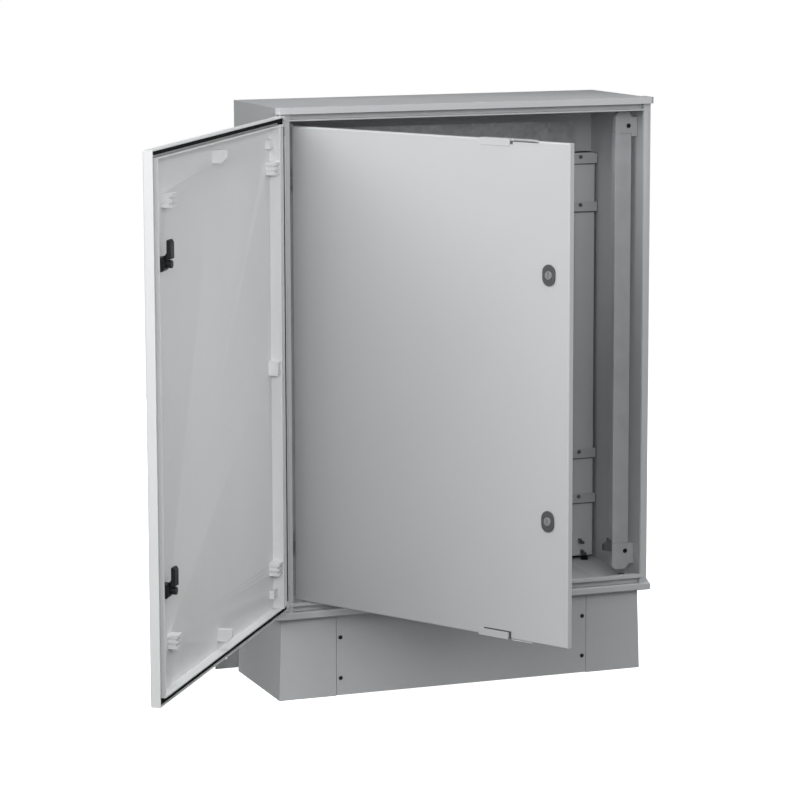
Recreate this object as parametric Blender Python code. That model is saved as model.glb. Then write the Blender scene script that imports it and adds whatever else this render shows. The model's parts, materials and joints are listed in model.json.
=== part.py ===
"""Industrial switchboard cabinet: a moulded outdoor enclosure on a plinth, with two doors.

Metres, +Z up, +X to the right and +Y to the back. The origin is on the floor, at the middle
of the plinth's rear ground flange. Both doors stand open: the rest pose. Door parts are
modelled as if shut and then turned with the empty that stands on their hinge axis.
"""

from math import cos, pi, radians, sin

import bmesh
import bpy
from mathutils import Matrix, Vector

GAP = 0.0003

# Cabinet body. Depths are measured backwards from its front plane.
HALF_WIDTH = 0.405
DEPTH = 0.285
DRAFT = 0.005
FRONT_Y = -0.275
BASE_Z = 0.172
TOP_Z = 1.204
WALL = 0.005
FLANGE = 0.006
OPENING_HALF = 0.389
OPENING_LEFT = -0.376
OPENING_LOW = 0.2055
OPENING_HIGH = 1.177
RECESS_DEEP = 0.012
RECESS_Z = ((0.187, 0.1995), (1.1795, 1.191))
RIM_PROUD = 0.0035
FLOOR_Z = 0.1925
CEILING_Z = 1.1965

# Plinth under the body.
PLINTH_FRONT = 0.022
PLINTH_REAR = 0.295
PLINTH_HALF_LOW = 0.400
PLINTH_HALF_HIGH = 0.394
PLINTH_WALL = 0.005
PANEL_HALF = 0.2775
PANEL_GAP = 0.0010
BRACKET_SCREW_Z = (0.025, 0.063)

# Main door, measured inwards from its own edges and from its outer skin.
DOOR_HALF = 0.404
DOOR_LOW = 0.1964
DOOR_HIGH = 1.1878
SKIN_DEPTH = -0.020
DOOR_SKIN = 0.004
RETURN_TALL = 0.0185
RETURN_WIDE = 0.0024
STILE_WIDE = 0.008
CHANNEL_WIDE = 0.0121
CHANNEL_FLOOR = 0.007
LIP_WIDE = 0.0025
LIP_TALL = 0.023
LIP_RELIEF_X = (-0.389, -0.3755)
LIP_RELIEF_TALL = 0.0193
SIDE_EXTRA = 0.0015
GUTTER_X = -0.344
GUTTER_WALL = 0.0045
GUTTER_TALL = 0.026
MAIN_PIVOT = (-0.3995, -0.0109)
MAIN_OPEN = radians(125)
RIB_LONG = 0.027
RIB_THICK = 0.0055
RIB_PITCH = 0.0098
RIB_GROUP_Z = (0.2835, 1.0795)
RIB_BLOCK_Z = (0.237, 1.130)
MIDDLE_BLOCK_Z = (0.684, 0.711)
FREE_RIB_X = (0.290, 0.318)
STOP_X = 0.022
STOP_Z = (0.229, 1.132)
PIN_RADIUS = 0.002
PIN_HOLE = 0.0023
KNUCKLE_TALL = 0.030
MAIN_HINGE_Z = {"lower": 0.216, "upper": 1.150}

# Inner door.
INNER_LEFT = -0.342
INNER_RIGHT = 0.342
INNER_LOW = 0.208
INNER_HIGH = 1.165
INNER_FRONT = 0.022
INNER_THICK = 0.014
INNER_SKIN = 0.003
INNER_PIVOT = (-0.3513, 0.0415)
INNER_OPEN = radians(60)
INNER_HINGE_Z = {"lower": 0.300, "upper": 1.040}
BRACKET_TALL = 0.022

# Locks.
MAIN_LOCK_X = 0.350
MAIN_LOCK_Z = {"lower": 0.399, "upper": 0.984}
INNER_LOCK_X = 0.296
INNER_LOCK_Z = {"lower": 0.4486, "upper": 0.9169}
SPINDLE_RADIUS = 0.006
KEY_RADIUS = 0.0085
MAIN_SPINDLE_END = 0.0035
MAIN_HUB_RADIUS = 0.0072
MAIN_HUB_DEPTH = (0.0038, 0.0138)
MAIN_ARM_TALL = (0.0264, 0.0345)
MAIN_ARM_LONG = 0.0435
LATCH_BASE_HALF = 0.014
LATCH_BASE_TALL = 0.0235
INNER_SPINDLE_END = 0.0537
INNER_CAM_LONG = 0.060
INNER_CAM_HALF = 0.007
INNER_CAM_DEPTH = (0.054, 0.057)

# Inside the cabinet.
UPRIGHT_INNER = 0.349
UPRIGHT_OUTER = 0.385
UPRIGHT_FRONT = 0.050
UPRIGHT_BACK = 0.066
UPRIGHT_SHEET = 0.0025
BLOCK_SCREW = {"top": (0.378, 1.142), "bottom": (0.378, 0.2475)}
RAIL_Z = (0.327, 0.425, 0.957, 1.059)
RAIL_FRONT = 0.240
RAIL_BACK = 0.2435
RAIL_TALL = 0.020
REAR_PANEL_HALF = 0.3885
REAR_PANEL_Z = (0.2005, 1.0715)
REAR_PANEL_SHEET = 0.002
PLATE_HALF = 0.335
PLATE_LOW = 0.241
PLATE_HIGH = 1.141
PLATE_SHEET = 0.0025
PLATE_SCREW_X = 0.315
PLATE_SCREW_HEAD = 0.005
PLATE_SCREW_SHANK = 0.0022
PLATE_SCREW_LONG = 0.006
BODY_BOLT_X = 0.367
BODY_BOLT_DEPTH = (0.045, 0.237)

POLYESTER = ((0.62, 0.63, 0.63), 0.45, 0.0)
SHEET_STEEL = ((0.66, 0.67, 0.68), 0.35, 1.0)
DARK_PLASTIC = ((0.02, 0.025, 0.025), 0.5, 0.0)
RUBBER = ((0.015, 0.015, 0.016), 0.8, 0.0)
LIGHT_PLASTIC = ((0.70, 0.71, 0.71), 0.5, 0.0)
STEEL = ((0.55, 0.55, 0.56), 0.3, 1.0)


def behind(depth):
    """World Y of a plane this far behind the body's front plane."""
    return FRONT_Y + depth


def clear_scene():
    for obj in list(bpy.data.objects):
        bpy.data.objects.remove(obj, do_unlink=True)


def material(name, look):
    colour, roughness, metallic = look
    made = bpy.data.materials.new(name)
    made.use_nodes = True
    made.diffuse_color = (*colour, 1.0)
    shader = made.node_tree.nodes["Principled BSDF"]
    shader.inputs["Base Color"].default_value = (*colour, 1.0)
    shader.inputs["Roughness"].default_value = roughness
    shader.inputs["Metallic"].default_value = metallic
    return made


def add_object(name, mesh_builder, look=None):
    """Turns a finished bmesh into an object of the scene, with its faces pointing out."""
    bmesh.ops.recalc_face_normals(mesh_builder, faces=mesh_builder.faces[:])
    mesh = bpy.data.meshes.new(name)
    mesh_builder.to_mesh(mesh)
    mesh_builder.free()
    obj = bpy.data.objects.new(name, mesh)
    bpy.context.scene.collection.objects.link(obj)
    if look:
        mesh.materials.append(material(name, look))
    return obj


def ring_stack(loops, closed=False):
    """A solid skinned over rings of equal length: capped at both ends, or closed on itself."""
    builder = bmesh.new()
    rings = [[builder.verts.new(point) for point in loop] for loop in loops]
    pairs = list(zip(rings, rings[1:]))
    if closed:
        pairs.append((rings[-1], rings[0]))
    for lower, upper in pairs:
        for index in range(len(lower)):
            following = (index + 1) % len(lower)
            builder.faces.new((lower[index], lower[following], upper[following], upper[index]))
    if not closed:
        builder.faces.new(rings[0])
        builder.faces.new(rings[-1])
    return builder


def upright_rectangle(left, right, low, high, depth):
    """A rectangle that faces the front, at a depth behind the front plane."""
    y = behind(depth)
    return [(left, y, low), (right, y, low), (right, y, high), (left, y, high)]


def level_rectangle(half, front, back, z):
    """A rectangle that lies level, from one depth to another."""
    corners = ((-half, front), (half, front), (half, back), (-half, back))
    return [(x, behind(depth), z) for x, depth in corners]


def box(name, x, depth, z, look=None):
    """A block between two x values, two depths and two heights."""
    return add_object(
        name, ring_stack([upright_rectangle(x[0], x[1], z[0], z[1], edge) for edge in depth]), look
    )


def extrude(name, outline, axis, start, end, look=None):
    """An outline of (u, v) points extruded along an axis: Z takes (x, y), X takes (y, z)."""
    place = {
        "X": lambda u, v, w: (w, u, v),
        "Y": lambda u, v, w: (u, w, v),
        "Z": lambda u, v, w: (u, v, w),
    }[axis]
    return add_object(
        name, ring_stack([[place(u, v, w) for u, v in outline] for w in (start, end)]), look
    )


def circle(centre, radius, count=24):
    turns = (2 * pi * index / count for index in range(count))
    return [(centre[0] + radius * cos(turn), centre[1] + radius * sin(turn)) for turn in turns]


def rounded_slot(centre, half_wide, half_tall, count=8):
    """A slot with round ends above and below: half_tall includes the round ends."""
    straight = half_tall - half_wide
    points = []
    for end, first in ((1, 0), (-1, pi)):
        for step in range(count + 1):
            turn = first + pi * step / count
            points.append(
                (
                    centre[0] + half_wide * cos(turn),
                    centre[1] + end * straight + half_wide * sin(turn),
                )
            )
    return points


def lathe_along_y(name, centre, profile, look=None, count=24):
    """Rings of (depth, radius) about a line that runs front to back through (x, z)."""
    loops = []
    for depth, radius in profile:
        loops.append([(x, behind(depth), z) for x, z in circle(centre, radius, count)])
    return add_object(name, ring_stack(loops), look)


def combine(target, tool, operation):
    """Adds or subtracts a tool solid with an exact Boolean, and removes the tool."""
    modifier = target.modifiers.new("Shape", "BOOLEAN")
    modifier.operation = operation
    modifier.object = tool
    graph = bpy.context.evaluated_depsgraph_get()
    result = bpy.data.meshes.new_from_object(target.evaluated_get(graph))
    target.modifiers.remove(modifier)
    target.data = result
    bpy.data.objects.remove(tool, do_unlink=True)


def unite(target, *tools):
    for tool in tools:
        combine(target, tool, "UNION")


def cut(target, *tools):
    for tool in tools:
        combine(target, tool, "DIFFERENCE")


def shade_round(obj):
    obj.data.shade_smooth()
    obj.data.set_sharp_from_angle(angle=radians(35))


def move_origin(obj, point):
    obj.data.transform(Matrix.Translation(-Vector(point)))
    obj.location = point


def pivot_empty(name, pivot):
    empty = bpy.data.objects.new(name, None)
    empty.location = (pivot[0], behind(pivot[1]), 0)
    bpy.context.scene.collection.objects.link(empty)
    return empty


def hang(obj, empty):
    """Parents a part to a hinge empty without moving the part."""
    obj.location = Vector(obj.location) - Vector(empty.location)
    obj.parent = empty


def body_wall_half(depth):
    """Half the inner width of the body at a depth, with its moulding draft."""
    return HALF_WIDTH - WALL - DRAFT * depth / DEPTH


def body_block():
    """The outside of the body before it is hollowed: a drafted block."""
    rear_half = HALF_WIDTH - DRAFT
    low, high = BASE_Z + 0.001, TOP_Z - 0.001
    return add_object(
        "cabinet_body",
        ring_stack(
            [
                upright_rectangle(-rear_half, rear_half, low, high - 0.002, DEPTH),
                upright_rectangle(-HALF_WIDTH, HALF_WIDTH, low, high, 0),
            ]
        ),
        POLYESTER,
    )


def body_cavity():
    """The space inside the body: its mouth, then the wider room behind the front flange."""
    wide, narrow = body_wall_half(FLANGE), body_wall_half(DEPTH - WALL)
    mouth = (OPENING_LEFT, OPENING_HALF, OPENING_LOW, OPENING_HIGH)
    return add_object(
        "cavity",
        ring_stack(
            [
                upright_rectangle(*mouth, -0.020),
                upright_rectangle(*mouth, FLANGE),
                upright_rectangle(-wide, wide, FLOOR_Z, CEILING_Z, FLANGE),
                upright_rectangle(-narrow, narrow, FLOOR_Z, CEILING_Z, DEPTH - WALL),
            ]
        ),
    )


def cabinet_body():
    body = body_block()
    unite(body, ledge(), roof_lip())
    cut(body, body_cavity())
    unite(body, sealing_rim(), *recess_backs())
    for z in RECESS_Z:
        cut(body, box("recess", (OPENING_LEFT, OPENING_HALF), (-0.006, RECESS_DEEP), z))
    cut(body, box("cable_opening", (-0.300, 0.300), (0.070, 0.240), (0.150, 0.210)))
    for x, depth in bolt_places():
        cut(body, post_between("bolt_hole", (x, depth), 0.0045, 0.150, 0.210))
    return body


def recess_backs():
    """Thicker wall behind the two recesses in the front flange."""
    half, depth = OPENING_HALF + 0.003, (FLANGE - 0.001, RECESS_DEEP + WALL)
    return (
        box("back", (-half, half), depth, (FLOOR_Z - 0.001, OPENING_LOW - 0.0005)),
        box("back", (-half, half), depth, (OPENING_HIGH + 0.0005, CEILING_Z + 0.001)),
    )


def ledge():
    """The flared foot of the body, which overhangs the plinth on every side."""
    flare, front, back = 0.0083, -0.003, DEPTH + 0.010
    return add_object(
        "ledge",
        ring_stack(
            [
                level_rectangle(HALF_WIDTH + flare - 0.002, front + 0.002, back, BASE_Z),
                level_rectangle(HALF_WIDTH + flare, front, back, BASE_Z + 0.002),
                level_rectangle(HALF_WIDTH + flare, front, back, BASE_Z + 0.013),
                level_rectangle(HALF_WIDTH + flare - 0.002, front + 0.003, back, BASE_Z + 0.0155),
                level_rectangle(HALF_WIDTH - 0.002, 0.003, DEPTH - 0.003, BASE_Z + 0.030),
            ]
        ),
    )


def roof_lip():
    """The drip edge of the roof, ahead of the door's top and round its front corners."""
    half, front = HALF_WIDTH + 0.0025, -0.0137
    corner = 0.006
    outline = [
        (-half, behind(0.030)),
        (-half, behind(front + corner)),
        (-half + corner, behind(front)),
        (half - corner, behind(front)),
        (half, behind(front + corner)),
        (half, behind(0.030)),
    ]
    return extrude("roof_lip", outline, "Z", 1.191, TOP_Z)


def sealing_rim():
    """The rim round three sides of the opening that presses into the door gasket."""
    outer, inner, mitre = 0.397, 0.3895, 0.002
    low, high = (0.199, 0.206), (1.1765, 1.180)
    outline = [
        (-OPENING_HALF, low[0]),
        (outer - mitre, low[0]),
        (outer, low[0] + mitre),
        (outer, high[1] - mitre),
        (outer - mitre, high[1]),
        (-OPENING_HALF, high[1]),
        (-OPENING_HALF, high[0]),
        (inner, high[0]),
        (inner, low[1]),
        (-OPENING_HALF, low[1]),
    ]
    return extrude("sealing_rim", outline, "Y", behind(-RIM_PROUD), behind(FLANGE - 0.001))


def bolt_places():
    return [(side * BODY_BOLT_X, depth) for side in (-1, 1) for depth in BODY_BOLT_DEPTH]


def post_between(name, place, radius, low, high, look=None, count=20):
    """A round post, upright, at (x, depth)."""
    outline = circle((place[0], behind(place[1])), radius, count)
    return extrude(name, outline, "Z", low, high, look)


def plinth_frame():
    """The drafted skirt, with a flange inside its top and a ground flange at the rear."""
    top = BASE_Z - GAP
    wall, flange_low = PLINTH_WALL, BASE_Z - 0.006
    rings = [
        level_rectangle(PLINTH_HALF_LOW, PLINTH_FRONT, PLINTH_REAR, 0),
        level_rectangle(PLINTH_HALF_HIGH, PLINTH_FRONT, PLINTH_REAR - 0.002, top),
        level_rectangle(0.345, 0.066, 0.245, top),
        level_rectangle(0.345, 0.066, 0.245, flange_low),
        level_rectangle(
            PLINTH_HALF_HIGH - wall, PLINTH_FRONT + wall, PLINTH_REAR - 0.002 - wall, flange_low
        ),
        level_rectangle(PLINTH_HALF_LOW - wall, PLINTH_FRONT + wall, PLINTH_REAR - wall, 0),
    ]
    frame = add_object("plinth_frame", ring_stack(rings, closed=True), POLYESTER)
    cut(frame, box("front_gap", (-PANEL_HALF, PANEL_HALF), (0.010, 0.0276), (-0.01, BASE_Z + 0.01)))
    unite(frame, box("ground_flange", (-0.396, 0.396), (0.255, 0.2925), (0, 0.005)))
    for side in (-1, 1):
        near, far = sorted((side * 0.255, side * (PANEL_HALF + 0.012)))
        unite(frame, box("backing", (near, far), (0.0274, 0.0314), (0.002, BASE_Z - 0.004)))
    for x, depth in bolt_places():
        cut(frame, post_between("bolt_hole", (x, depth), 0.0045, 0.150, 0.180))
    for x, z in panel_screw_places():
        cut(frame, lathe_along_y("screw_hole", (x, z), ((0.020, 0.0026), (0.040, 0.0026)), count=16))
    for side in (-1, 1):
        for z in BRACKET_SCREW_Z:
            place = (side * 0.365, z)
            cut(frame, lathe_along_y("hole", place, ((0.280, 0.0026), (0.310, 0.0026)), count=16))
    return frame


def panel_screw_places():
    return [(side * 0.268, z) for side in (-1, 1) for z in (0.037, 0.122)]


def plinth_front_panel():
    edge = PANEL_HALF - PANEL_GAP
    outline = (
        (-edge, edge),
        (PLINTH_FRONT, PLINTH_FRONT + 0.005),
        (0.0010, BASE_Z - 0.001),
    )
    panel = box("plinth_front_panel", *outline, POLYESTER)
    for x, z in panel_screw_places():
        cut(panel, lathe_along_y("screw_hole", (x, z), ((0.010, 0.0026), (0.040, 0.0026)), count=16))
    return panel


def screw(name, place, head_depth, head_radius, head_tall, reach):
    """A pan-head screw that goes in from the front, under the head at head_depth."""
    shank = 0.0022
    profile = (
        (head_depth - head_tall, head_radius * 0.6),
        (head_depth - head_tall * 0.7, head_radius * 0.9),
        (head_depth, head_radius),
        (head_depth, shank),
        (head_depth + reach, shank),
    )
    made = lathe_along_y(name, place, profile, STEEL, count=16)
    shade_round(made)
    return made


def body_bolt(name, place):
    """A hexagon bolt with its washer, down through the body's floor into the plinth."""
    under_head = FLOOR_Z + GAP
    x, y = place[0], behind(place[1])
    rings = []
    for z, radius in (
        (under_head - 0.034, 0.0040),
        (under_head, 0.0040),
        (under_head, 0.0090),
        (under_head + 0.0016, 0.0090),
    ):
        rings.append([(u, v, z) for u, v in circle((x, y), radius, 18)])
    bolt = add_object(name, ring_stack(rings), STEEL)
    outline = circle((x, y), 0.0075, 6)
    unite(bolt, extrude("head", outline, "Z", under_head + 0.001, under_head + 0.0070))
    return bolt


def rear_bracket(name, side):
    """A steel lug behind the plinth that stands out to the side, with a slot for an anchor."""
    near, far = sorted((side * 0.345, side * 0.450))
    bracket = box(
        name, (near, far), (PLINTH_REAR + GAP, PLINTH_REAR + 0.0033), (0.008, 0.080), SHEET_STEEL
    )
    slot = rounded_slot((side * 0.428, 0.044), 0.0055, 0.016)
    cut(bracket, extrude("slot", slot, "Y", behind(0.280), behind(0.310)))
    for z in BRACKET_SCREW_Z:
        place = (side * 0.365, z)
        cut(bracket, lathe_along_y("hole", place, ((0.280, 0.0026), (0.310, 0.0026)), count=16))
    return bracket


def cable_entry_plate():
    """The undrilled plate that covers the floor opening until cable glands are fitted."""
    low = FLOOR_Z + GAP
    return box(
        "cable_entry_plate", (-0.315, 0.315), (0.045, 0.262), (low, low + 0.0025), SHEET_STEEL
    )


def tray_outline(left, right, depth, sheet):
    """A flat front with its two sides folded straight back, in (x, y)."""
    front, back = behind(depth[0]), behind(depth[1])
    return [
        (left, back),
        (left, front),
        (right, front),
        (right, back),
        (right - sheet, back),
        (right - sheet, front + sheet),
        (left + sheet, front + sheet),
        (left + sheet, back),
    ]


def rear_panel():
    """The panel across the rear of the cabinet that carries the rails."""
    half = REAR_PANEL_HALF
    depth = (RAIL_BACK + GAP, DEPTH - WALL - GAP)
    outline = tray_outline(-half, half, depth, REAR_PANEL_SHEET)
    return extrude("rear_panel", outline, "Z", *REAR_PANEL_Z, POLYESTER)


def mounting_rail(name, z):
    """A flat rail from side wall to side wall, in front of the rear panel."""
    half = body_wall_half(RAIL_BACK) - 0.0028
    tall = (z - RAIL_TALL / 2, z + RAIL_TALL / 2)
    rail = box(name, (-half, half), (RAIL_FRONT, RAIL_BACK), tall, SHEET_STEEL)
    if z in (RAIL_Z[0], RAIL_Z[-1]):
        for side in (-1, 1):
            place = (side * PLATE_SCREW_X, z)
            cut(rail, lathe_along_y("hole", place, ((0.230, 0.0025), (0.250, 0.0025)), count=16))
    return rail


def mounting_plate():
    face = RAIL_FRONT - GAP
    plate = box(
        "mounting_plate",
        (-PLATE_HALF, PLATE_HALF),
        (face - PLATE_SHEET, face),
        (PLATE_LOW, PLATE_HIGH),
        SHEET_STEEL,
    )
    for z in (RAIL_Z[0], RAIL_Z[-1]):
        for side in (-1, 1):
            place = (side * PLATE_SCREW_X, z)
            front = face - PLATE_SHEET
            wide, narrow = PLATE_SCREW_HEAD + GAP, PLATE_SCREW_SHANK + GAP
            hole = (
                (front - 0.01, wide),
                (front + 0.0002, wide),
                (front + PLATE_SHEET, narrow),
                (face + 0.01, narrow),
            )
            cut(plate, lathe_along_y("hole", place, hole, count=20))
    return plate


def plate_screw(name, place):
    """A countersunk screw, flush with the front of the mounting plate."""
    front = RAIL_FRONT - GAP - PLATE_SHEET
    profile = (
        (front + GAP, PLATE_SCREW_HEAD),
        (front + PLATE_SHEET, PLATE_SCREW_SHANK),
        (front + PLATE_SCREW_LONG, PLATE_SCREW_SHANK),
    )
    made = lathe_along_y(name, place, profile, STEEL, count=20)
    slot = box(
        "slot",
        (place[0] - 0.004, place[0] + 0.004),
        (front - 0.01, front + 0.0012),
        (place[1] - 0.0005, place[1] + 0.0005),
    )
    cut(made, slot)
    shade_round(made)
    return made


def upright(name, side):
    """A post beside the inner door, with its sides folded back."""
    depth = (UPRIGHT_FRONT, UPRIGHT_BACK)
    left, right = sorted((side * UPRIGHT_INNER, side * UPRIGHT_OUTER))
    outline = tray_outline(left, right, depth, UPRIGHT_SHEET)
    return extrude(name, outline, "Z", 0.2645, 1.1255, LIGHT_PLASTIC)


def upright_block(name, side, low, high, chamfer_at):
    """The end block of an upright, with the tab that fixes it to the side wall."""
    near, far = UPRIGHT_INNER, UPRIGHT_OUTER
    lift = 0.007
    bottom = lift if chamfer_at == "bottom" else 0
    top = lift if chamfer_at == "top" else 0
    outline = [
        (near + bottom, low),
        (far - bottom, low),
        (far, low + bottom),
        (far, high - top),
        (far - top, high),
        (near + top, high),
        (near, high - top),
        (near, low + bottom),
    ]
    outline = [(side * x, z) for x, z in outline]
    block = extrude(name, outline, "Y", behind(UPRIGHT_FRONT), behind(UPRIGHT_BACK), LIGHT_PLASTIC)
    wall = body_wall_half(UPRIGHT_BACK) - 0.0005
    depth = (UPRIGHT_FRONT + 0.001, UPRIGHT_BACK - 0.002)
    tab = (low + 0.010, high - 0.002) if chamfer_at == "bottom" else (low + 0.002, high - 0.010)
    reach = sorted((side * (far - 0.003), side * wall))
    unite(block, box("tab", reach, depth, tab))
    if chamfer_at == "top":
        beside = sorted((side * (far + 0.0006), side * wall))
        unite(block, box("drop", beside, depth, (low - 0.006, low + 0.004)))
    x, z = BLOCK_SCREW[chamfer_at]
    hole = ((UPRIGHT_FRONT - 0.01, 0.0035), (UPRIGHT_BACK + 0.01, 0.0035))
    cut(block, lathe_along_y("hole", (side * x, z), hole, count=20))
    return block


def door_ring(inset, side_insets, tall):
    """A rectangle inset from the shut door's edges, at a height above its outer skin."""
    hinge_inset, free_inset = side_insets
    return upright_rectangle(
        -DOOR_HALF + hinge_inset,
        DOOR_HALF - free_inset,
        DOOR_LOW + inset,
        DOOR_HIGH - inset,
        SKIN_DEPTH + tall,
    )


def main_door_shell():
    """A shallow tray with a return edge, a gasket channel and a lip that is low by the hinges."""
    lip = RETURN_WIDE + CHANNEL_WIDE
    lip_sides = (lip + SIDE_EXTRA, lip + SIDE_EXTRA)
    inner = lip + LIP_WIDE
    inner_sides = (inner + SIDE_EXTRA, inner + SIDE_EXTRA)
    return_sides = (STILE_WIDE, RETURN_WIDE)
    shell = ring_stack(
        [
            door_ring(0.002, (0.002, 0.002), 0),
            door_ring(0, (0, 0), 0.002),
            door_ring(0, (0, 0), RETURN_TALL),
            door_ring(RETURN_WIDE, return_sides, RETURN_TALL),
            door_ring(RETURN_WIDE, return_sides, CHANNEL_FLOOR),
            door_ring(lip, lip_sides, CHANNEL_FLOOR),
            door_ring(lip, lip_sides, LIP_TALL),
            door_ring(inner, inner_sides, LIP_TALL),
            door_ring(inner, inner_sides, DOOR_SKIN),
        ]
    )
    door = add_object("main_door_shell", shell, POLYESTER)
    for low in MAIN_HINGE_Z.values():
        high = low + KNUCKLE_TALL
        edge = -DOOR_HALF
        cut(
            door,
            box(
                "notch",
                (edge - 0.010, edge + STILE_WIDE),
                (SKIN_DEPTH - 0.01, 0.005),
                (low - 0.0015, high + 0.0015),
            ),
        )
        cut(door, post_between("bore", MAIN_PIVOT, PIN_HOLE, low - 0.021, high + 0.011, count=16))
    relief = (SKIN_DEPTH + LIP_RELIEF_TALL, SKIN_DEPTH + LIP_TALL + 0.001)
    cut(door, box("lip_relief", LIP_RELIEF_X, relief, (DOOR_LOW, DOOR_HIGH)))
    for z in MAIN_LOCK_Z.values():
        place = (MAIN_LOCK_X, z)
        cut(door, lathe_along_y("lock_hole", place, ((-0.03, 0.0065), (0, 0.0065)), count=24))
    unite(door, gutter_wall(), *door_ribs(), *door_stops())
    return door


def door_block(x, tall, z):
    """A block that stands on the inside of the door's skin."""
    return box("block", x, (SKIN_DEPTH + DOOR_SKIN - 0.001, SKIN_DEPTH + tall), z)


def gutter_wall():
    """The stiffening wall beside the hinges, between the upper and the lower inner lip."""
    edge = RETURN_WIDE + CHANNEL_WIDE + 0.001
    x = (GUTTER_X - GUTTER_WALL, GUTTER_X)
    return door_block(x, GUTTER_TALL, (DOOR_LOW + edge, DOOR_HIGH - edge))


def rib_group(x, tall, low):
    """Three ribs on a common base that fills the bottom of the gaps between them."""
    step = 3 * RIB_PITCH - (RIB_PITCH - RIB_THICK)
    base = (x[0] + 0.001, x[1] - 0.002)
    ribs = [door_block(base, tall - 0.005, (low + 0.001, low + step - 0.001))]
    for number in range(3):
        foot = low + number * RIB_PITCH
        ribs.append(door_block(x, tall, (foot, foot + RIB_THICK)))
    return ribs


def door_ribs():
    """Groups of ribs and single blocks: against the gutter wall, and near the free edge."""
    hinge_side = (GUTTER_X - 0.001, GUTTER_X + RIB_LONG)
    ribs = [door_block((GUTTER_X - 0.001, GUTTER_X + 0.018), GUTTER_TALL - 0.003, MIDDLE_BLOCK_Z)]
    for low in RIB_GROUP_Z:
        ribs += rib_group(hinge_side, GUTTER_TALL - 0.0015, low)
        ribs += rib_group(FREE_RIB_X, GUTTER_TALL - 0.0025, low)
    for low in RIB_BLOCK_Z:
        ribs.append(door_block(hinge_side, 0.013, (low, low + 0.017)))
    return ribs


def door_stops():
    """Two hooked stops at mid width, near the top and the bottom of the door."""
    stops = []
    for low in STOP_Z:
        outline = [(0.003, low), (0.022, low), (0.032, low + 0.010), (0.032, low + 0.024)]
        outline.append((0.003, low + 0.024))
        points = [(behind(SKIN_DEPTH + tall), z) for tall, z in outline]
        stops.append(extrude("stop", points, "X", STOP_X - 0.009, STOP_X))
    return stops


def door_gasket():
    """The seal in the door's channel: it stands higher beside the hinges, where no rim is."""
    outer = RETURN_WIDE + GAP
    wide = outer + 0.0075
    hinge_outer = STILE_WIDE + GAP
    hinge_inner = RETURN_WIDE + CHANNEL_WIDE + SIDE_EXTRA - GAP
    bevel = 0.001
    low, high = CHANNEL_FLOOR + GAP, -RIM_PROUD - GAP - SKIN_DEPTH
    gasket = add_object(
        "door_gasket",
        ring_stack(
            [
                door_ring(outer, (hinge_outer, outer), low),
                door_ring(outer, (hinge_outer, outer), high - bevel),
                door_ring(outer + bevel, (hinge_outer + bevel, outer + bevel), high),
                door_ring(wide - bevel, (hinge_inner - bevel, wide - bevel), high),
                door_ring(wide, (hinge_inner, wide), high - bevel),
                door_ring(wide, (hinge_inner, wide), low),
            ],
            closed=True,
        ),
        RUBBER,
    )
    edge = -DOOR_HALF
    raised = box(
        "raised",
        (edge + hinge_outer + 0.001, edge + hinge_inner - 0.001),
        (SKIN_DEPTH + low + 0.001, -0.0004),
        (DOOR_LOW + 0.020, DOOR_HIGH - 0.020),
    )
    unite(gasket, raised)
    return gasket


def main_hinge(name, low):
    """The fixed knuckle on the body's front flange, with the foot that holds it."""
    x, depth = MAIN_PIVOT
    high = low + KNUCKLE_TALL
    knuckle = post_between(name, MAIN_PIVOT, 0.0032, low, high, STEEL, count=20)
    unite(knuckle, box("foot", (x - 0.0030, x + 0.0030), (depth + 0.001, -GAP), (low, high)))
    cut(knuckle, post_between("bore", MAIN_PIVOT, PIN_HOLE, low - 0.01, high + 0.01, count=16))
    return knuckle


def hinge_pin(name, place, radius, low, high):
    pin = post_between(name, place, radius, low, high, STEEL, count=16)
    shade_round(pin)
    return pin


def above_skin(points, z):
    """Turns (height above the main door's outer skin, height above the lock) into (y, z)."""
    return [(behind(SKIN_DEPTH + tall), z + rise) for tall, rise in points]


def latch_base(name, z):
    """The black housing of a main door latch, with the hole its spindle turns in."""
    foot, top = DOOR_SKIN + GAP, LATCH_BASE_TALL
    outline = (
        (foot, -0.013),
        (top - 0.005, -0.013),
        (top, -0.008),
        (top, 0.0165),
        (top - 0.0055, 0.012),
        (foot, 0.012),
    )
    x = MAIN_LOCK_X
    wide = (x - LATCH_BASE_HALF, x + LATCH_BASE_HALF)
    base = extrude(name, above_skin(outline, z), "X", *wide, DARK_PLASTIC)
    cut(base, lathe_along_y("bore", (x, z), ((-0.03, 0.0065), (0.01, 0.0065)), count=24))
    return base


def latch_lever(name, z):
    """A main door latch's lever: a hub, and an arm that stands further in and points up."""
    place = (MAIN_LOCK_X, z)
    near, far = (behind(depth) for depth in MAIN_HUB_DEPTH)
    lever = extrude(name, circle(place, MAIN_HUB_RADIUS), "Y", near, far, DARK_PLASTIC)
    neck = ((0.0238, 0.0005), (0.0280, 0.0005), (0.0280, 0.022), (0.0270, 0.022), (0.0238, 0.0185))
    low, high = MAIN_ARM_TALL
    arm = (
        (low, 0.0097),
        (high, 0.0097),
        (high, MAIN_ARM_LONG - 0.005),
        (high - 0.003, MAIN_ARM_LONG),
        (low + 0.001, MAIN_ARM_LONG),
        (low, MAIN_ARM_LONG - 0.003),
    )
    for points, half in ((neck, 0.0065), (arm, 0.0095)):
        x = (place[0] - half, place[0] + half)
        unite(lever, extrude("lever", above_skin(points, z), "X", *x))
    return lever


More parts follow.
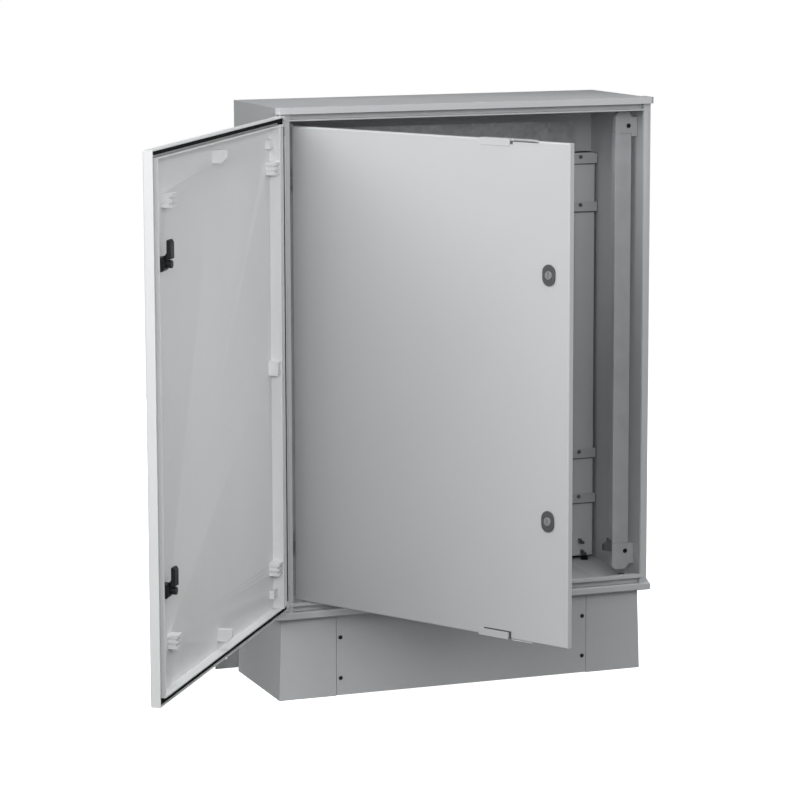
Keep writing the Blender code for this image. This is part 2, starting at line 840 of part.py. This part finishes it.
def escutcheon(name, place, face):
    """An oval plate round a key insert, in front of a door's face."""
    outline = rounded_slot(place, 0.0145, 0.0205)
    plate = extrude(name, outline, "Y", behind(face - GAP - 0.0035), behind(face - GAP), DARK_PLASTIC)
    shade_round(plate)
    hole = KEY_RADIUS + 0.0004
    cut(plate, lathe_along_y("bore", place, ((face - 0.02, hole), (face + 0.01, hole)), count=24))
    return plate


def spindle(name, place, face, end):
    """The key insert and its shaft, from ahead of the face to the cam."""
    profile = (
        (face - 0.0048, KEY_RADIUS - 0.001),
        (face - 0.0040, KEY_RADIUS),
        (face - GAP, KEY_RADIUS),
        (face - GAP, SPINDLE_RADIUS),
        (end, SPINDLE_RADIUS),
    )
    made = lathe_along_y(name, place, profile, LIGHT_PLASTIC)
    slot = box(
        "key_slot",
        (place[0] - 0.0012, place[0] + 0.0012),
        (face - 0.01, face - 0.0028),
        (place[1] - 0.006, place[1] + 0.006),
    )
    cut(made, slot)
    shade_round(made)
    return made


def cam(name, place):
    """An inner door's quarter-turn cam: a round hub, and a lever that points up when unlocked."""
    x, z = place
    near, far = INNER_CAM_DEPTH
    made = extrude(name, circle(place, 0.009), "Y", behind(near), behind(far), STEEL)
    wide, tip = INNER_CAM_HALF, z + INNER_CAM_LONG
    lever = [
        (x - wide, z),
        (x + wide, z),
        (x + wide, tip - 0.005),
        (x + wide - 0.004, tip),
        (x - wide + 0.003, tip),
        (x - wide, tip - 0.003),
    ]
    inset = 0.0004
    unite(made, extrude("lever", lever, "Y", behind(near + inset), behind(far - inset)))
    return made


def inner_door_panel():
    """A flat panel with narrow edges folded back."""

    def ring(inset, depth):
        return upright_rectangle(
            INNER_LEFT + inset, INNER_RIGHT - inset, INNER_LOW + inset, INNER_HIGH - inset, depth
        )

    back = INNER_FRONT + INNER_THICK
    panel = ring_stack(
        [
            ring(0.002, INNER_FRONT),
            ring(0, INNER_FRONT + 0.002),
            ring(0, back),
            ring(INNER_SKIN, back),
            ring(INNER_SKIN, INNER_FRONT + INNER_SKIN),
        ]
    )
    door = add_object("inner_door_panel", panel, POLYESTER)
    for z in INNER_LOCK_Z.values():
        place = (INNER_LOCK_X, z)
        cut(door, lathe_along_y("lock_hole", place, ((0.01, 0.0065), (0.03, 0.0065)), count=24))
    return door


def inner_clip(name, side):
    """A clip over the upper or lower edge of the inner door."""
    edge = INNER_HIGH if side > 0 else INNER_LOW
    left = 0.130
    front, back = INNER_FRONT, INNER_FRONT + INNER_THICK
    z_face = sorted((edge - side * 0.012, edge + side * 0.0018))
    z_top = sorted((edge + side * GAP, edge + side * 0.0018))
    clip = box(name, (left, left + 0.072), (front - 0.0018, front - GAP), z_face, LIGHT_PLASTIC)
    unite(clip, box("web", (left, left + 0.072), (front - 0.001, back), z_top))
    unite(clip, box("tail", (left + 0.080, left + 0.130), (front - 0.001, back), z_top))
    unite(clip, box("link", (left + 0.060, left + 0.100), (front + 0.006, back), z_top))
    return clip


def inner_hinge_bracket(name, low):
    """A bracket on the left upright: plate, arm and the knuckle of the lower half."""
    x, depth = INNER_PIVOT
    high = low + BRACKET_TALL
    bracket = post_between(name, INNER_PIVOT, 0.0055, low, high, SHEET_STEEL, count=24)
    foot = UPRIGHT_FRONT - GAP
    unite(bracket, box("arm", (x - 0.028, x), (depth + 0.001, foot), (low, high)))
    cut(bracket, post_between("bore", INNER_PIVOT, 0.0028, low - 0.01, high + 0.01, count=16))
    return bracket


def inner_hinge_leaf(name, low):
    """The door's half of an inner hinge, which sits above the bracket's knuckle."""
    x, depth = INNER_PIVOT
    high = low + BRACKET_TALL
    leaf = post_between(name, INNER_PIVOT, 0.0050, low, high, SHEET_STEEL, count=24)
    back = INNER_FRONT + INNER_THICK
    unite(leaf, box("arm", (x + 0.001, INNER_LEFT + 0.030), (back + GAP, back + 0.0033), (low, high)))
    unite(leaf, box("root", (x, x + 0.008), (back + GAP, depth), (low, high)))
    cut(leaf, post_between("bore", INNER_PIVOT, 0.0028, low - 0.01, high + 0.01, count=16))
    return leaf


def build_cabinet():
    cabinet_body()
    plinth_frame()
    plinth_front_panel()
    for number, place in enumerate(panel_screw_places(), 1):
        screw(f"plinth_screw_{number}", place, PLINTH_FRONT - GAP, 0.0045, 0.002, 0.013)
    for number, place in enumerate(bolt_places(), 1):
        body_bolt(f"body_bolt_{number}", place)
    rear_bracket("rear_bracket_left", -1)
    rear_bracket("rear_bracket_right", 1)
    cable_entry_plate()
    for number, z in enumerate(RAIL_Z, 1):
        mounting_rail(f"mounting_rail_{number}", z)
    rear_panel()
    mounting_plate()
    plate_screws = [(side * PLATE_SCREW_X, z) for side in (-1, 1) for z in (RAIL_Z[0], RAIL_Z[-1])]
    for number, place in enumerate(plate_screws, 1):
        plate_screw(f"plate_screw_{number}", place)
    for word, side in (("left", -1), ("right", 1)):
        upright(f"upright_{word}", side)
        upright_block(f"upright_block_top_{word}", side, 1.1258, 1.170, "top")
        upright_block(f"upright_block_bottom_{word}", side, 0.209, 0.2642, "bottom")


def build_hinges():
    for word, low in MAIN_HINGE_Z.items():
        main_hinge(f"main_hinge_{word}", low)
        high = low + KNUCKLE_TALL
        hinge_pin(f"main_hinge_pin_{word}", MAIN_PIVOT, PIN_RADIUS, low - 0.018, high + 0.010)
    for word, low in INNER_HINGE_Z.items():
        inner_hinge_bracket(f"inner_hinge_bracket_{word}", low)
        high = low + 2 * BRACKET_TALL + GAP
        hinge_pin(f"inner_hinge_pin_{word}", INNER_PIVOT, 0.0025, low - 0.002, high + 0.002)


def build_main_door():
    empty = pivot_empty("main_door_axis", MAIN_PIVOT)
    parts = [main_door_shell(), door_gasket()]
    for word, z in MAIN_LOCK_Z.items():
        place = (MAIN_LOCK_X, z)
        parts.append(latch_base(f"latch_base_{word}", z))
        parts.append(escutcheon(f"main_escutcheon_{word}", place, SKIN_DEPTH))
        turning = [
            spindle(f"main_spindle_{word}", place, SKIN_DEPTH, MAIN_SPINDLE_END),
            latch_lever(f"main_cam_{word}", z),
        ]
        for part in turning:
            move_origin(part, (place[0], behind(SKIN_DEPTH), z))
        parts += turning
    for part in parts:
        hang(part, empty)
    empty.rotation_euler.z = -MAIN_OPEN


def build_inner_door():
    empty = pivot_empty("inner_door_axis", INNER_PIVOT)
    parts = [inner_door_panel(), inner_clip("inner_clip_top", 1), inner_clip("inner_clip_bottom", -1)]
    for word, low in INNER_HINGE_Z.items():
        parts.append(inner_hinge_leaf(f"inner_hinge_leaf_{word}", low + BRACKET_TALL + GAP))
    for word, z in INNER_LOCK_Z.items():
        place = (INNER_LOCK_X, z)
        parts.append(escutcheon(f"inner_escutcheon_{word}", place, INNER_FRONT))
        turning = [
            spindle(f"inner_spindle_{word}", place, INNER_FRONT, INNER_SPINDLE_END),
            cam(f"inner_cam_{word}", place),
        ]
        for part in turning:
            move_origin(part, (place[0], behind(INNER_FRONT), z))
        parts += turning
    for part in parts:
        hang(part, empty)
    empty.rotation_euler.z = -INNER_OPEN


def main():
    clear_scene()
    build_cabinet()
    build_hinges()
    build_main_door()
    build_inner_door()


main()
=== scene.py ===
"""The looks of the switchboard cabinet: fine edges, fittings, finishes, light and camera."""

import json
from math import cos, pi, radians, sin

import bmesh
import bpy
from mathutils import Matrix, Vector


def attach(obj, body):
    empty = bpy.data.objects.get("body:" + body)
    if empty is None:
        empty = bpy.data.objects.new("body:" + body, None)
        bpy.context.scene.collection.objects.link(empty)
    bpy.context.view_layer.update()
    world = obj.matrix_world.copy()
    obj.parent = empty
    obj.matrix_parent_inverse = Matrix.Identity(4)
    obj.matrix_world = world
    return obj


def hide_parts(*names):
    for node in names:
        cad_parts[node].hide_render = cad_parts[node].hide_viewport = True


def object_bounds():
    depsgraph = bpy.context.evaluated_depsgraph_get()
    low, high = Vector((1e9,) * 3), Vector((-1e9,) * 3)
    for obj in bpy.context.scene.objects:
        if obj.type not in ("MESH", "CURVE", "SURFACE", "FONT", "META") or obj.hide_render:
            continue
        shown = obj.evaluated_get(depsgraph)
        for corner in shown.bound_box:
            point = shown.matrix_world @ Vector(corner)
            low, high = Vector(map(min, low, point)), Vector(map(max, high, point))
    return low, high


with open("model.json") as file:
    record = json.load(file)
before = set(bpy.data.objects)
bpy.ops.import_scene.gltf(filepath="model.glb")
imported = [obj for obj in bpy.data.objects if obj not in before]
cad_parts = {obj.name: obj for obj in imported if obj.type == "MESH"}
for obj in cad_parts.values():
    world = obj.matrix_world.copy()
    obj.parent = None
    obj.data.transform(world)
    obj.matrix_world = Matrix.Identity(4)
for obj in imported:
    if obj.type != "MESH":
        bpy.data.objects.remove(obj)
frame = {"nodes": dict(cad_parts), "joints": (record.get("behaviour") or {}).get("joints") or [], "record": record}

CAD_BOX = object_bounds()
NODES = frame["nodes"]
JOINTS = {joint["name"]: joint for joint in frame["joints"]}
SLOTS = {part["node"]: part["material_slot"] for part in frame["record"]["subparts"]}
BODY_OF = {
    node: body
    for body, members in frame["record"]["behaviour"]["bodies"].items()
    for node in members
}

# How far the inner door stands from shut, and how wide each material's rounded edges are.
INNER_OPEN = radians(-JOINTS["inner_door_hinge"]["range_deg"][0])
EDGES = {
    "polyester": 0.0012,
    "sheet_steel": 0.0005,
    "dark_plastic": 0.0008,
    "light_plastic": 0.0012,
    "gasket_rubber": 0.002,
    "hardware_steel": 0.0003,
}
SHARP_FROM = radians(32)
SMOOTH_WITHIN = radians(35)
FLAT_WITHIN = radians(0.4)
SAME_POINT = 1e-6

# Where the cabinet's small fittings and painted shadow pieces sit. Depths are measured back from its front plane.
FRONT_Y = -0.275
RAIL_FRONT = 0.240
RAIL_SCREW_X = 0.354
RAIL_SCREW_Z = (0.331, 0.429, 0.961, 1.063)
RAIL_SCREW_RISE = 0.014
RAIL_SCREW_SIZE = (0.0042, 0.0030)
# The dark strips under the rails paint the shadow line beneath each rail.
SHADOW_STRIP_HALF = 0.390
SHADOW_STRIP_TALL = 0.0022
SHADOW_STRIP_DEPTH = (RAIL_FRONT + 0.0002, RAIL_FRONT + 0.0037)
BLOCK_SCREW_X = 0.378
BLOCK_SCREW_Z = {"top": 1.142, "bottom": 0.2475}
BLOCK_SCREW_SIZE = (0.0048, 0.0022)
BLOCK_FRONT = 0.050
# The dark pieces beside the inner door's clips paint the shadow gaps and notches round the clips.
CLIP_SHADOW_DEPTH = (0.0211, 0.0224)
SIDES = ((-1, "left"), (1, "right"))
HOOK_PLACES = ((0.355, 0.2285), (0.360, 0.2035))
HOOK_DEPTH = (RAIL_FRONT - 0.004, RAIL_FRONT + 0.0035)
POST_CATCH_DEPTH = (0.0535, 0.0630)
HEAD_POINTS = 24
SOCKET_SIDES = 6


# ---------------------------------------------------------------- materials


class Graph:
    """A small helper that adds and links the nodes of one material."""

    def __init__(self, name):
        self.material = bpy.data.materials.new(name)
        self.material.use_nodes = True
        self.tree = self.material.node_tree
        self.shader = self.tree.nodes["Principled BSDF"]
        self.place = self.add("ShaderNodeTexCoord").outputs["Object"]

    def add(self, kind, **values):
        made = self.tree.nodes.new(kind)
        for key, value in values.items():
            if key in made.inputs:
                made.inputs[key].default_value = value
            else:
                setattr(made, key, value)
        return made

    def link(self, output, target):
        self.tree.links.new(output, target)

    def noise(self, scale, detail=3.0, stretch=None):
        made = self.add("ShaderNodeTexNoise", Scale=scale, Detail=detail)
        source = self.place
        if stretch:
            mapping = self.add("ShaderNodeMapping")
            mapping.inputs["Scale"].default_value = stretch
            self.link(source, mapping.inputs["Vector"])
            source = mapping.outputs["Vector"]
        self.link(source, made.inputs["Vector"])
        return made.outputs["Fac"]

    def spread(self, value, low, high):
        """Maps the middle of a noise to a range."""
        made = self.add("ShaderNodeMapRange")
        made.inputs["From Min"].default_value = 0.3
        made.inputs["From Max"].default_value = 0.7
        made.inputs["To Min"].default_value = low
        made.inputs["To Max"].default_value = high
        self.link(value, made.inputs["Value"])
        return made.outputs["Result"]

    def tint(self, factor, first, second):
        made = self.add("ShaderNodeMix", data_type="RGBA")
        self.link(factor, made.inputs["Factor"])
        for socket, colour in ((made.inputs["A"], first), (made.inputs["B"], second)):
            if isinstance(colour, bpy.types.NodeSocket):
                self.link(colour, socket)
            else:
                socket.default_value = (*colour, 1.0)
        return made.outputs["Result"]

    def edges(self, radius):
        """1 on edges that are rounder than the surface round them, and 0 on flat faces."""
        bevel = self.add("ShaderNodeBevel", samples=4)
        bevel.inputs["Radius"].default_value = radius
        geometry = self.add("ShaderNodeNewGeometry")
        dot = self.add("ShaderNodeVectorMath", operation="DOT_PRODUCT")
        self.link(bevel.outputs["Normal"], dot.inputs[0])
        self.link(geometry.outputs["Normal"], dot.inputs[1])
        made = self.add("ShaderNodeMapRange")
        made.inputs["From Min"].default_value = 0.995
        made.inputs["From Max"].default_value = 0.90
        self.link(dot.outputs["Value"], made.inputs["Value"])
        return made.outputs["Result"]

    def relief(self, *layers):
        """Stacks bumps: each layer is a height and the depth in metres that it stands for."""
        normal = None
        for height, depth in layers:
            bump = self.add("ShaderNodeBump", Distance=depth, Strength=1.0)
            self.link(height, bump.inputs["Height"])
            if normal:
                self.link(normal, bump.inputs["Normal"])
            normal = bump.outputs["Normal"]
        self.link(normal, self.shader.inputs["Normal"])

    def finish(self, colour, roughness, **constants):
        self.link(colour, self.shader.inputs["Base Color"])
        self.link(roughness, self.shader.inputs["Roughness"])
        for key, value in constants.items():
            self.shader.inputs[key.replace("_", " ")].default_value = value
        return self.material


def shade_of(colour, factor):
    return tuple(min(1.0, channel * factor) for channel in colour)


def moulded_polyester(name, colour):
    """Compression-moulded polyester: faint flow marks, chopped-glass mottling, orange peel."""
    graph = Graph(name)
    clouds = graph.noise(3.2, 4.0, (1.0, 1.0, 0.55))
    flakes = graph.noise(160.0, 2.0)
    base = graph.tint(graph.spread(clouds, 0, 1), shade_of(colour, 0.97), shade_of(colour, 1.03))
    base = graph.tint(graph.spread(flakes, 0, 0.10), base, shade_of(colour, 0.80))
    base = graph.tint(graph.edges(0.0016), base, shade_of(colour, 1.10))
    peel = graph.noise(420.0, 2.0)
    waves = graph.noise(9.0, 2.0)
    graph.relief((waves, 0.0008), (peel, 0.00006))
    rough = graph.spread(graph.noise(14.0, 5.0), 0.41, 0.53)
    return graph.finish(base, rough, Specular_IOR_Level=0.45)


def galvanised(name, colour):
    """Hot-dip zinc on sheet steel: soft spangles and rolling marks."""
    graph = Graph(name)
    cells = graph.add("ShaderNodeTexVoronoi", Scale=110.0, feature="F1")
    graph.link(graph.place, cells.inputs["Vector"])
    spangle = graph.add("ShaderNodeSeparateColor")
    graph.link(cells.outputs["Color"], spangle.inputs["Color"])
    rolled = graph.noise(240.0, 3.0, (1.0, 1.0, 0.02))
    base = graph.tint(spangle.outputs["Red"], shade_of(colour, 0.90), shade_of(colour, 1.08))
    base = graph.tint(graph.spread(rolled, 0, 0.25), base, shade_of(colour, 0.82))
    graph.relief((rolled, 0.00003))
    return graph.finish(base, graph.spread(spangle.outputs["Green"], 0.34, 0.52), Metallic=0.85)


def zinc_plated(name, colour):
    """Turned and plated steel fasteners, with fine tool marks and dull patches."""
    graph = Graph(name)
    patches = graph.noise(300.0, 4.0)
    turned = graph.noise(1500.0, 2.0, (1.0, 1.0, 0.15))
    base = graph.tint(graph.spread(patches, 0, 1), shade_of(colour, 0.78), shade_of(colour, 1.12))
    graph.relief((turned, 0.00002))
    return graph.finish(base, graph.spread(patches, 0.28, 0.46), Metallic=1.0)


def fine_plastic(name, colour, gloss, variation=0.06):
    """Injection-moulded plastic with a spark-eroded grain and slightly lighter rounded edges."""
    graph = Graph(name)
    clouds = graph.noise(25.0, 3.0)
    grain = graph.noise(1900.0, 2.0)
    base = graph.tint(
        graph.spread(clouds, 0, 1), shade_of(colour, 1 - variation), shade_of(colour, 1 + variation)
    )
    base = graph.tint(graph.edges(0.0007), base, shade_of(colour, 1.35))
    graph.relief((grain, 0.00004))
    rough = graph.spread(graph.noise(60.0, 4.0), gloss - 0.05, gloss + 0.08)
    return graph.finish(base, rough, Specular_IOR_Level=0.5)


def foamed_rubber(name, colour):
    """Closed-cell foam seal: a skin full of fine pores."""
    graph = Graph(name)
    pores = graph.add("ShaderNodeTexVoronoi", Scale=1400.0)
    graph.link(graph.place, pores.inputs["Vector"])
    clouds = graph.noise(70.0, 3.0)
    base = graph.tint(graph.spread(clouds, 0, 1), shade_of(colour, 0.7), shade_of(colour, 1.4))
    graph.relief((pores.outputs["Distance"], 0.00015))
    return graph.finish(base, graph.spread(clouds, 0.66, 0.86), Specular_IOR_Level=0.15)


def lacquered_sheet(name, colour):
    """The inner door: a smooth sheet with a satin lacquer and a barely visible texture."""
    graph = Graph(name)
    clouds = graph.noise(2.0, 3.0)
    peel = graph.noise(650.0, 2.0)
    base = graph.tint(graph.spread(clouds, 0, 1), shade_of(colour, 0.985), shade_of(colour, 1.015))
    base = graph.tint(graph.edges(0.0012), base, shade_of(colour, 1.08))
    graph.relief((graph.noise(5.0, 1.0), 0.0006), (peel, 0.00003))
    rough = graph.spread(graph.noise(11.0, 4.0), 0.36, 0.44)
    return graph.finish(base, rough, Specular_IOR_Level=0.5, Coat_Weight=0.08)


# The main door's grey is the body's polyester made lighter: painted light for the brighter light that falls on the
# door.
GREY = (0.525, 0.54, 0.55)
LIT_DOOR_GREY = (0.74, 0.755, 0.76)
MATERIALS = {
    "polyester": moulded_polyester("moulded_polyester", GREY),
    "sheet_steel": galvanised("galvanised_sheet", (0.56, 0.57, 0.58)),
    "dark_plastic": fine_plastic("black_polyamide", (0.006, 0.010, 0.010), 0.45, 0.15),
    "gasket_rubber": foamed_rubber("foamed_seal", (0.003, 0.004, 0.004)),
    "light_plastic": fine_plastic("light_polyamide", (0.43, 0.445, 0.455), 0.44),
    "hardware_steel": zinc_plated("zinc_plated_steel", (0.62, 0.62, 0.60)),
}
LIT_DOOR_SHELL = moulded_polyester("moulded_polyester_door_painted_light", LIT_DOOR_GREY)
INNER_SHEET = lacquered_sheet("lacquered_inner_door", (0.60, 0.612, 0.618))
RAIL_GREY = lacquered_sheet("lacquered_rail", (0.45, 0.465, 0.475))
ESCUTCHEON_GREY = fine_plastic("escutcheon_grey", (0.085, 0.09, 0.093), 0.40)
KEY_GREY = fine_plastic("key_insert_grey", (0.26, 0.265, 0.27), 0.35)
# Near-black heads for bolts and screws: the dark colour paints the shade of the recesses and holes the heads sit
# in.
DARK_SCREW = zinc_plated("dark_steel_painted_recess_shade", (0.05, 0.052, 0.055))
DULL_SCREW = zinc_plated("dull_steel", (0.16, 0.165, 0.17))


# ---------------------------------------------------------------- pieces made from the frame


def add_piece(name, builder, slot, body, look):
    """Links a finished bmesh as a piece that rides on a body, in its slot's finish or another."""
    bmesh.ops.recalc_face_normals(builder, faces=builder.faces[:])
    mesh = bpy.data.meshes.new(name)
    builder.to_mesh(mesh)
    builder.free()
    mesh.shade_smooth()
    mesh.set_sharp_from_angle(angle=SMOOTH_WITHIN)
    piece = bpy.data.objects.new(name, mesh)
    bpy.context.scene.collection.objects.link(piece)
    mesh.materials.append(look or MATERIALS[slot])
    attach(piece, body)
    return piece


def soften(piece, width):
    """Rounds a piece's sharp edges with real geometry."""
    bevel = piece.modifiers.new("Edges", "BEVEL")
    bevel.width = width
    bevel.segments = 2
    bevel.limit_method = "ANGLE"
    bevel.angle_limit = SHARP_FROM
    bevel.harden_normals = True


def outline_of(node):
    """The CAD node's faces without its triangulation, ready for fine edges."""
    builder = bmesh.new()
    builder.from_mesh(NODES[node].data)
    bmesh.ops.remove_doubles(builder, verts=builder.verts[:], dist=SAME_POINT)
    verts, edges = builder.verts[:], builder.edges[:]
    bmesh.ops.dissolve_limit(builder, angle_limit=FLAT_WITHIN, verts=verts, edges=edges)
    return builder


def refine(node, width, look):
    """Replaces a CAD node by the same shape with rounded edges."""
    piece = add_piece(f"{node}_fine", outline_of(node), SLOTS[node], BODY_OF[node], look)
    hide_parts(node)
    soften(piece, width)


def special_look(node):
    """The finishes that differ from the usual one of the node's slot."""
    looks = (
        ("main_door_shell", LIT_DOOR_SHELL),
        ("inner_door_panel", INNER_SHEET),
        ("inner_clip", INNER_SHEET),
        ("escutcheon", ESCUTCHEON_GREY),
        ("spindle", KEY_GREY),
        ("mounting_rail", RAIL_GREY),
        ("cable_entry_plate", RAIL_GREY),
        ("body_bolt", DARK_SCREW),
        ("plinth_screw", DARK_SCREW),
    )
    for word, look in looks:
        if word in node:
            return look
    return None


def refine_all():
    for node in NODES:
        refine(node, EDGES[SLOTS[node]], special_look(node))


refine_all()


# ---------------------------------------------------------------- fittings and painted shadow pieces


def cabinet_point(x, depth, z):
    """A point so far right of the middle, behind the cabinet's front plane and above the floor."""
    return Vector((x, FRONT_Y + depth, z))


def inner_door_point(x, depth, z):
    """A point given as if the inner door were shut, carried round its hinge to the rest pose."""
    pivot = Vector(JOINTS["inner_door_hinge"]["pos_m"])
    point = cabinet_point(x, depth, z) - pivot
    return pivot + Matrix.Rotation(-INNER_OPEN, 3, "Z") @ point


def skin(rings):
    """A closed solid over rings of equal length."""
    builder = bmesh.new()
    loops = [[builder.verts.new(point) for point in ring] for ring in rings]
    for first, second in zip(loops, loops[1:]):
        for index, corner in enumerate(first):
            following = (index + 1) % len(first)
            builder.faces.new((corner, first[following], second[following], second[index]))
    builder.faces.new(loops[0])
    builder.faces.new(loops[-1])
    return builder


def head_ring(place, depth, radius, sides):
    """Points round a screw's axis, on a circle or on a polygon of so many sides."""
    ring = []
    for step in range(HEAD_POINTS):
        turn = 2 * pi * step / HEAD_POINTS
        facet = 2 * pi / sides
        off = turn % facet - facet / 2
        reach = radius * (cos(facet / 2) / cos(off) if sides < HEAD_POINTS else 1)
        ring.append(cabinet_point(place[0] + reach * cos(turn), depth, place[1] + reach * sin(turn)))
    return ring


def pan_head(name, place, seat, size, look):
    """A pan-head screw with a hexagonal socket, on a seat at a depth: size is radius and height."""
    radius, tall = size
    rings = (
        head_ring(place, seat, radius, HEAD_POINTS),
        head_ring(place, seat - 0.45 * tall, radius, HEAD_POINTS),
        head_ring(place, seat - 0.85 * tall, 0.86 * radius, HEAD_POINTS),
        head_ring(place, seat - tall, 0.62 * radius, HEAD_POINTS),
        head_ring(place, seat - tall, 0.42 * radius, SOCKET_SIDES),
        head_ring(place, seat - 0.35 * tall, 0.40 * radius, SOCKET_SIDES),
    )
    add_piece(name, skin(rings), "hardware_steel", "cabinet", look)


def cabinet_screws():
    """The screws of the rails, and those on the end blocks of the uprights."""
    for side, word in SIDES:
        for number, z in enumerate(RAIL_SCREW_Z, 1):
            place = (side * RAIL_SCREW_X, z)
            pan_head(f"rail_screw_{number}_{word}", place, RAIL_FRONT, RAIL_SCREW_SIZE, DULL_SCREW)
        for end, z in BLOCK_SCREW_Z.items():
            place = (side * BLOCK_SCREW_X, z)
            # The block screws' near-black heads paint the shade of the holes they sit in.
            pan_head(f"block_screw_{end}_{word}", place, BLOCK_FRONT, BLOCK_SCREW_SIZE, DARK_SCREW)


def dark_fitting_and_shadow(name, outline, depth, edge, body="cabinet", point=cabinet_point):
    """A dark plastic piece, used for real fittings and for painted shadows: an outline of (x, z) corners between
    two depths, with fine edges.
    """
    rings = [[point(x, face, z) for x, z in outline] for face in depth]
    soften(add_piece(name, skin(rings), "dark_plastic", body, ESCUTCHEON_GREY), edge)


def rail_shadow_strips():
    """Dark strips along the undersides of the four rails, painting the shadow line beneath each rail."""
    for number, z in enumerate(RAIL_SCREW_Z, 1):
        high = z - RAIL_SCREW_RISE
        low = high - SHADOW_STRIP_TALL
        outline = ((-SHADOW_STRIP_HALF, low), (SHADOW_STRIP_HALF, low), (SHADOW_STRIP_HALF, high), (-SHADOW_STRIP_HALF, high))
        dark_fitting_and_shadow(f"rail_shadow_strip_{number}", outline, SHADOW_STRIP_DEPTH, 0.0004)


def clip_shadows():
    """Dark L-shaped pieces beside the clips at the inner door's upper and lower edges, painting the shadow gaps
    and notches round the clips.
    """
    upper = (
        (0.2035, 1.1570),
        (0.2090, 1.1570),
        (0.2090, 1.1622),
        (0.2700, 1.1622),
        (0.2700, 1.1640),
        (0.2035, 1.1640),
    )
    lower = (
        (0.1430, 0.2204),
        (0.2034, 0.2204),
        (0.2034, 0.2092),
        (0.2085, 0.2092),
        (0.2085, 0.2228),
        (0.1430, 0.2228),
    )
    for word, outline in (("top", upper), ("bottom", lower)):
        name = f"inner_clip_shadow_{word}"
        dark_fitting_and_shadow(name, outline, CLIP_SHADOW_DEPTH, 0.0002, "inner_door", inner_door_point)


def cable_hooks():
    """Two small hooks low on each side of the rear panel."""
    hook = ((0.0, 0.0), (0.011, -0.002), (0.013, 0.003), (0.008, 0.005), (0.004, 0.010), (0.0, 0.010))
    for side, word in SIDES:
        for number, (x, z) in enumerate(HOOK_PLACES, 1):
            outline = [(side * (x + u), z + v) for u, v in hook]
            dark_fitting_and_shadow(f"cable_hook_{number}_{word}", outline, HOOK_DEPTH, 0.0005)


def post_catches():
    """A catch beside the foot of each upright."""
    catch = (
        (0.3310, 0.2500),
        (0.3487, 0.2475),
        (0.3487, 0.2700),
        (0.3440, 0.2750),
        (0.3400, 0.2750),
        (0.3420, 0.2690),
        (0.3310, 0.2640),
    )
    for side, word in SIDES:
        outline = [(side * x, z) for x, z in catch]
        dark_fitting_and_shadow(f"post_catch_{word}", outline, POST_CATCH_DEPTH, 0.0006)


cabinet_screws()
rail_shadow_strips()
clip_shadows()
cable_hooks()
post_catches()


# ---------------------------------------------------------------- floor, light, camera


FLOOR_HALF = 40
FLOOR_DROP = 0.0005
GLOW_DROP = 0.002
LIT_POINT = Vector((0.0, -0.4, 0.65))

# Degrees right of the front, degrees up, distance, width and power of each lamp.
LAMPS = {
    "left_key": (-60, 30, 4.0, 2.4, 62),
    "camera_side": (-25, 15, 5.0, 1.8, 64),
    "front": (-5, 22, 3.2, 1.2, 20),
    "side": (-90, 25, 4.0, 2.4, 22),
    "right_fill": (50, 30, 4.0, 3.0, 38),
    "overhead": (0, 85, 4.0, 2.0, 76),
    "back_fill": (165, -4, 4.0, 0.7, 26),
}
LENS = 147.96
EYE = (-2.4387, -6.4153, 1.669)
EYE_TURN = radians(-20.48)
EYE_TILT = radians(90 - 9.20)
EYE_ROLL = radians(-0.16)


def stage_sheet(name, drop, material):
    """A large level sheet, a little below the cabinet's foot."""
    builder = bmesh.new()
    bmesh.ops.create_grid(builder, x_segments=1, y_segments=1, size=FLOOR_HALF)
    mesh = bpy.data.meshes.new(name)
    builder.to_mesh(mesh)
    builder.free()
    sheet = bpy.data.objects.new(name, mesh)
    sheet.location.z = CAD_BOX[0].z - drop
    bpy.context.scene.collection.objects.link(sheet)
    mesh.materials.append(material)
    return sheet


def glowing(name, colour, strength):
    graph = Graph(name)
    base = graph.tint(graph.noise(0.7), shade_of(colour, 0.99), shade_of(colour, 1.01))
    graph.finish(base, graph.spread(graph.noise(3.0), 0.85, 0.95), Emission_Strength=strength)
    graph.shader.inputs["Emission Color"].default_value = (1, 1, 1, 1)
    return graph.material


def studio_floor():
    """A white floor for the camera, and under it the glow that it throws back on the cabinet."""
    floor = stage_sheet("studio_floor", FLOOR_DROP, glowing("pale_floor", (0.9, 0.9, 0.9), 1.0))
    floor.visible_diffuse = False
    floor.visible_glossy = False
    bounce = stage_sheet("floor_bounce", GLOW_DROP, glowing("floor_glow", (0.02, 0.02, 0.02), 0.164))
    bounce.visible_camera = False


def area_light(name, azimuth, height, distance, size, power):
    """A round lamp that faces the cabinet from so many degrees right of the front and above."""
    turn, lift = radians(azimuth), radians(height)
    away = Vector((sin(turn) * cos(lift), -cos(turn) * cos(lift), sin(lift)))
    data = bpy.data.lights.new(name, "AREA")
    data.shape = "DISK"
    data.size = size
    data.energy = power
    light = bpy.data.objects.new(name, data)
    light.location = LIT_POINT + distance * away
    light.rotation_euler = (-away).to_track_quat("-Z", "Y").to_euler()
    bpy.context.scene.collection.objects.link(light)


def studio_lights():
    for name, settings in LAMPS.items():
        area_light(name, *settings)
    world = bpy.data.worlds.new("studio")
    world.use_nodes = True
    world.node_tree.nodes["Background"].inputs["Strength"].default_value = 0.0
    bpy.context.scene.world = world


def camera():
    """Stands to the left of the front, a little above the roof, as far off as a long lens asks."""
    data = bpy.data.cameras.new("view")
    data.lens = LENS
    eye = bpy.data.objects.new("view", data)
    eye.location = EYE
    turn = Matrix.Rotation(EYE_TURN, 4, "Z") @ Matrix.Rotation(EYE_TILT, 4, "X")
    eye.rotation_euler = (turn @ Matrix.Rotation(EYE_ROLL, 4, "Z")).to_euler()
    bpy.context.scene.collection.objects.link(eye)
    bpy.context.scene.camera = eye


studio_floor()
studio_lights()
camera()
bpy.context.scene.view_settings.view_transform = "Standard"
